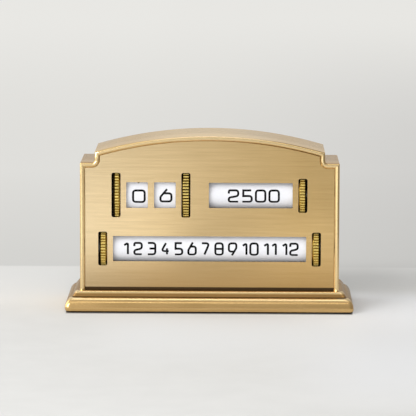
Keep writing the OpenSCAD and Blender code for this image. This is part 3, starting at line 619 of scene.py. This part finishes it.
def knurled_brass(name, axis, crest, groove, outer, inward, edge_shadow_width):
    """Bright ridges and grooves darkened by painted shade, by the distance from the axis, with a painted
    shadow on one edge.
    """
    finish, tree, metal = new_finish(name)
    metal.inputs["Metallic"].default_value = 1.0
    far = distance(tree, (0, axis[0] * MM, axis[1] * MM), (0, 1, 1))
    # Painted shade in the grooves below the ridges, and a painted shadow along the outer edge.
    height = rise(tree, far, crest - TOOTH_DEPTH, crest - 0.25 * TOOTH_DEPTH)
    shaded_grooves = blended(tree, height, groove, srgb(240, 214, 126))
    edge = rise(tree, own_axes(tree)["X"], outer + (edge_shadow_width - EDGE_BLUR) * inward,
                outer + (edge_shadow_width + EDGE_BLUR) * inward, 1.0, 0.0)
    tree.links.new(blended(tree, edge, shaded_grooves, srgb(40, 31, 14)), metal.inputs["Base Color"])
    scuff = grain_noise(tree, (700, 700, 700))
    tree.links.new(remap(tree, scuff, 0.22, 0.36), metal.inputs["Roughness"])
    relief(tree, metal, scuff, 0.3, 1e-5)
    return finish


wear("tens_wheel", knurled_brass("tens_wheel_brass", DIGIT_AXIS, DIGIT_WHEEL, PALE_GROOVE_SHADE, -63.6, 1, 1.35))
wear("ones_wheel", knurled_brass("ones_wheel_brass", DIGIT_AXIS, DIGIT_WHEEL, DEEP_GROOVE_SHADE, -18.4, 1, 0.3))
wear("unit_wheel", knurled_brass("unit_wheel_brass", UNIT_AXIS, SMALL_WHEEL, PALE_GROOVE_SHADE, 63.25, -1, 0.8))
wear("message_left_wheel",
     knurled_brass("message_left_brass", MESSAGE_AXIS, SMALL_WHEEL, PALE_GROOVE_SHADE, -72.35, 1, 0.85))
wear("message_right_wheel",
     knurled_brass("message_right_brass", MESSAGE_AXIS, SMALL_WHEEL, PALE_GROOVE_SHADE, 72.35, -1, 0.65))

# Back cover: black painted sheet let into the rear of the hood and held by four zinc-plated
# pan-head screws with cross recesses.
COVER_FACE = 25.4
SCREW_X, SCREW_Z = (-80.85, 80.85), (20.0, 93.59)
HEAD_RADIUS, HEAD_HEIGHT = 2.5, 1.3
RECESS_HALF_WIDTH, RECESS_REACH, RECESS_DEPTH = 0.42, 1.5, 0.85
HEAD_RINGS = [0.0, 0.12, 0.2, 0.28, 0.36, 0.44, 0.52, 0.6, 0.7, 0.8, 0.88, 0.94, 0.98, 1.0, 1.0]
HEAD_STEPS = 40


def cross_head(mesh, x, z):
    """A pan head on the cover: a low dome with a rolled edge and a tapering cross recess."""
    rings = []
    for k, share in enumerate(HEAD_RINGS):
        ring = []
        for i in range(HEAD_STEPS):
            a = 2 * math.pi * i / HEAD_STEPS
            u, v = HEAD_RADIUS * share * math.cos(a), HEAD_RADIUS * share * math.sin(a)
            slot, length = sorted((abs(u), abs(v)))
            lift = HEAD_HEIGHT * (1 - 0.22 * share ** 2 - 0.45 * max(0.0, (share - 0.8) / 0.2) ** 2)
            if slot < RECESS_HALF_WIDTH and length < RECESS_REACH:
                lift -= (RECESS_DEPTH * min(1.0, (RECESS_REACH - length) / 0.35)
                         * min(1.0, (RECESS_HALF_WIDTH - slot) / 0.16))
            if k == len(HEAD_RINGS) - 1:
                lift = 0.0
            ring.append(mesh.verts.new(Vector((x + u, COVER_FACE + lift, z + v)) * MM))
        rings.append(ring)
    for a, b in zip(rings, rings[1:]):
        for i in range(HEAD_STEPS):
            mesh.faces.new((a[i], a[i - 1], b[i - 1], b[i]))


wear("back_cover", BLACK_SHEET)
mesh = bmesh.new()
for x in SCREW_X:
    for z in SCREW_Z:
        cross_head(mesh, x, z)
bmesh.ops.remove_doubles(mesh, verts=mesh.verts, dist=1e-6)
bmesh.ops.recalc_face_normals(mesh, faces=mesh.faces)
heads = piece("cross_heads", mesh, 50)
heads.data.materials.append(ZINC)
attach(heads, "case")
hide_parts("cover_screws")


# Studio: a pale sweep under and behind the calendar, with a faint line of painted shade where a wall would
# meet it. A broad soft lamp and a tall box stand on the left, strips hang above, boards on the floor bounce
# light up, and fills that leave no reflection lift the shadows. The room is brighter on the left than on
# the right.
# The floor and its glow also carry painted shadows, painted pools of light and a painted contact shadow.
def smooth(tree, value, start, end, low=0.0, high=1.0):
    """A soft change from low to high as the value goes from start to end."""
    ease = add(tree, "ShaderNodeMapRange", {"interpolation_type": "SMOOTHSTEP"},
               From_Min=start, From_Max=end, To_Min=low, To_Max=high)
    tree.links.new(value, ease.inputs["Value"])
    return ease.outputs["Result"]


def layered(tree, ground, layers):
    """A colour with others laid over it in turn, each by its mask."""
    for mask, shade in layers:
        ground = blended(tree, mask, ground, srgb(*shade))
    return ground


FLOOR, tree, sweep = new_finish("studio_floor")
sweep.inputs["Roughness"].default_value = 0.7
sweep.inputs["Specular IOR Level"].default_value = 0.1
axes = own_axes(tree)
x, y = axes["X"], axes["Y"]
wide = add(tree, "ShaderNodeMath", {"operation": "ABSOLUTE"})
tree.links.new(x, wide.inputs[0])
path = add(tree, "ShaderNodeLightPath").outputs
# Painted shade and shadow on the floor: patches front right and far right, the line where a wall would
# stand, a shadow behind the right end and a contact shadow along the front of the pad. Painted light lifts
# a pool on the left, the floor right of the foot and the floor just in front of it.
near_right_shade = product(tree, smooth(tree, y, -0.32, -0.52), smooth(tree, x, -0.01, 0.12))
far_right_shade = product(tree, smooth(tree, x, 0.26, 0.45), smooth(tree, y, 0.6, 0.2))
wall = product(tree, remap(tree, y, 0.0, 1.0, 0.163, 0.169), remap(tree, y, 0.25, 0.0, 0.17, 0.75))
left_light_pool = product(tree, smooth(tree, y, -0.03, 0.03), smooth(tree, x, -0.06, -0.12))
back_right_shadow = product(tree, smooth(tree, y, 0.02, 0.08, 0.0, 0.22), smooth(tree, x, 0.05, 0.09),
               remap(tree, y, 1.0, 0.0, 0.163, 0.169), smooth(tree, x, 0.11, 0.15, 1.0, 0.3))
clear = product(tree, smooth(tree, y, 0.07, 0.02), smooth(tree, y, -0.42, -0.2), smooth(tree, x, 0.03, 0.1))
before = product(tree, smooth(tree, y, -0.26, -0.09), smooth(tree, y, 0.0, -0.03),
                 smooth(tree, x, -0.1, -0.03), smooth(tree, x, 0.11, 0.08))
contact_shadow = product(tree, remap(tree, y, 0.0, 0.8, -0.0395, -0.0375), remap(tree, y, 1.0, 0.0, -0.032, -0.03),
                  remap(tree, wide.outputs["Value"], 1.0, 0.0, 0.0935, 0.0945), path["Is Camera Ray"])
pale = mottled(tree, grain_noise(tree, (40, 40, 40)), srgb(201, 201, 200), srgb(204, 204, 203))
tree.links.new(layered(tree, pale, (
    (left_light_pool, (209, 209, 208)), (near_right_shade, (150, 150, 148)), (wall, (140, 140, 138)), (back_right_shadow, (140, 139, 137)),
    (clear, (208, 209, 211)), (before, (211, 212, 213)), (contact_shadow, (60, 57, 53)),
    (far_right_shade, (140, 139, 137)))), sweep.inputs["Base Color"])

far = distance(tree, (0, 0, 0), (1, 1, 1))
beyond = combine(tree, "MAXIMUM", smooth(tree, y, 0.12, 0.22), smooth(tree, far, 0.5, 1.0))
seen = combine(tree, "ADD", path["Is Camera Ray"], path["Is Glossy Ray"])
seen = combine(tree, "ADD", seen, path["Is Transmission Ray"])
# The backdrop's glow is darker towards the right as painted shade, lighter far off, and takes the same
# painted shade as the floor.
backdrop = blended(tree, smooth(tree, x, -0.1, 0.3), srgb(225, 224, 220), srgb(204, 203, 201))
glow = add(tree, "ShaderNodeEmission", Strength=1.0)
tree.links.new(layered(tree, backdrop, (
    (smooth(tree, far, 0.4, 2.8), (243, 242, 238)), (near_right_shade, (176, 175, 172)),
    (wall, (160, 160, 157)), (far_right_shade, (140, 139, 137)))), glow.inputs["Color"])
blend = add(tree, "ShaderNodeMixShader")
tree.links.new(product(tree, beyond, seen, 0.8), blend.inputs["Fac"])
tree.links.new(sweep.outputs["BSDF"], blend.inputs[1])
tree.links.new(glow.outputs["Emission"], blend.inputs[2])
out = next(node for node in tree.nodes if node.type == "OUTPUT_MATERIAL")
tree.links.new(blend.outputs["Shader"], out.inputs["Surface"])
ground = bmesh.new()
for corner in ((-4, -4, 0), (4, -4, 0), (4, 4, 0), (-4, 4, 0)):
    ground.verts.new(corner)
ground.faces.new(ground.verts)
floor = piece("studio_floor", ground, 30)
floor.data.materials.append(FLOOR)

world = bpy.data.worlds.new("studio")
bpy.context.scene.world = world
world.use_nodes = True
tree = world.node_tree
sky = tree.nodes["Background"]
sky.inputs["Color"].default_value = srgb(255, 254, 251)
place = add(tree, "ShaderNodeTexCoord")
axes = add(tree, "ShaderNodeSeparateXYZ")
tree.links.new(place.outputs["Generated"], axes.inputs["Vector"])
room = product(tree, remap(tree, axes.outputs["X"], 0.92, 0.32, -1.0, 1.0),
               remap(tree, axes.outputs["Y"], 1.0, 1.18, -1.0, 1.0))
level = add(tree, "ShaderNodeMix")
tree.links.new(add(tree, "ShaderNodeLightPath").outputs["Is Camera Ray"], level.inputs[0])
tree.links.new(room, level.inputs[2])
level.inputs[3].default_value = 0.76
tree.links.new(level.outputs[0], sky.inputs["Strength"])


def soft_lamp(name, place, aim, width, height, power, colour, mirrored=True, spread=180):
    """A soft box at a place, turned to an aim, out of the camera's sight."""
    lamp = bpy.data.lights.new(name, "AREA")
    lamp.shape = "RECTANGLE"
    lamp.size, lamp.size_y = width, height
    lamp.energy = power
    lamp.spread = math.radians(spread)
    lamp.color = colour
    holder = bpy.data.objects.new(name, lamp)
    bpy.context.scene.collection.objects.link(holder)
    holder.location = place
    holder.visible_camera = False
    holder.visible_glossy = mirrored
    holder.rotation_euler = (Vector(aim) - Vector(place)).to_track_quat("-Z", "Y").to_euler()


WHITE, WARM, CREAM = (1.0, 1.0, 1.0), (1.0, 0.995, 0.985), (1.0, 0.99, 0.97)
soft_lamp("key_left", (-1.45, -1.4, 0.9), (0, 0, 0.05), 1.3, 1.3, 37, WARM)
soft_lamp("ceiling", (0.3, -0.15, 1.7), (0.3, 0, 0.05), 1.7, 0.24, 2.3, WHITE)
soft_lamp("front_strip", (0, -0.9, 1.29), (0, 0, 0.05), 1.4, 0.16, 0.95, WHITE)
soft_lamp("left_box", (-1.1, 0.2, 0.55), (0, 0.2, 0.1), 0.6, 1.1, 5.0, WHITE)
soft_lamp("bounce_board", (-0.225, -0.425, 0.004), (-0.225, -0.425, 1.0), 0.39, 0.45, 0.42, CREAM)
soft_lamp("bounce_right", (0.095, -0.29, 0.004), (0.095, -0.29, 1.0), 0.12, 0.26, 0.028, CREAM)
soft_lamp("front_fill", (-0.2, -1.2, 0.12), (0, 0, 0.06), 1.0, 0.2, 5.5, WHITE, mirrored=False)
soft_lamp("right_fill", (0.75, -0.75, 0.3), (0.17, 0.0, 0.0), 0.3, 0.3, 1.5, WHITE, mirrored=False)
soft_lamp("shadow_fill", (0.14, -0.08, 0.26), (0.122, -0.008, 0.0), 0.06, 0.06, 0.011, WHITE,
          mirrored=False, spread=46)

CAMERA_DISTANCE = 2.04418
azimuth, elevation, roll = math.radians(0.6037), math.radians(7.6062), math.radians(0.2096)
target = Vector((-1.339, 0, 65.0)) * MM
away = Vector((math.sin(azimuth) * math.cos(elevation), -math.cos(azimuth) * math.cos(elevation),
               math.sin(elevation)))
right = Vector((math.cos(azimuth), math.sin(azimuth), 0))
up = away.cross(right)
across = right * math.cos(roll) + up * math.sin(roll)
upward = up * math.cos(roll) - right * math.sin(roll)
camera = bpy.data.objects.new("camera", bpy.data.cameras.new("camera"))
bpy.context.scene.collection.objects.link(camera)
stand = Matrix.Translation(target + away * CAMERA_DISTANCE)
camera.matrix_world = stand @ Matrix((across, upward, away)).transposed().to_4x4()
camera.data.sensor_width = 36
camera.data.lens = 265.9
camera.data.clip_end = 50
bpy.context.scene.camera = camera
bpy.context.scene.view_settings.view_transform = "Standard"
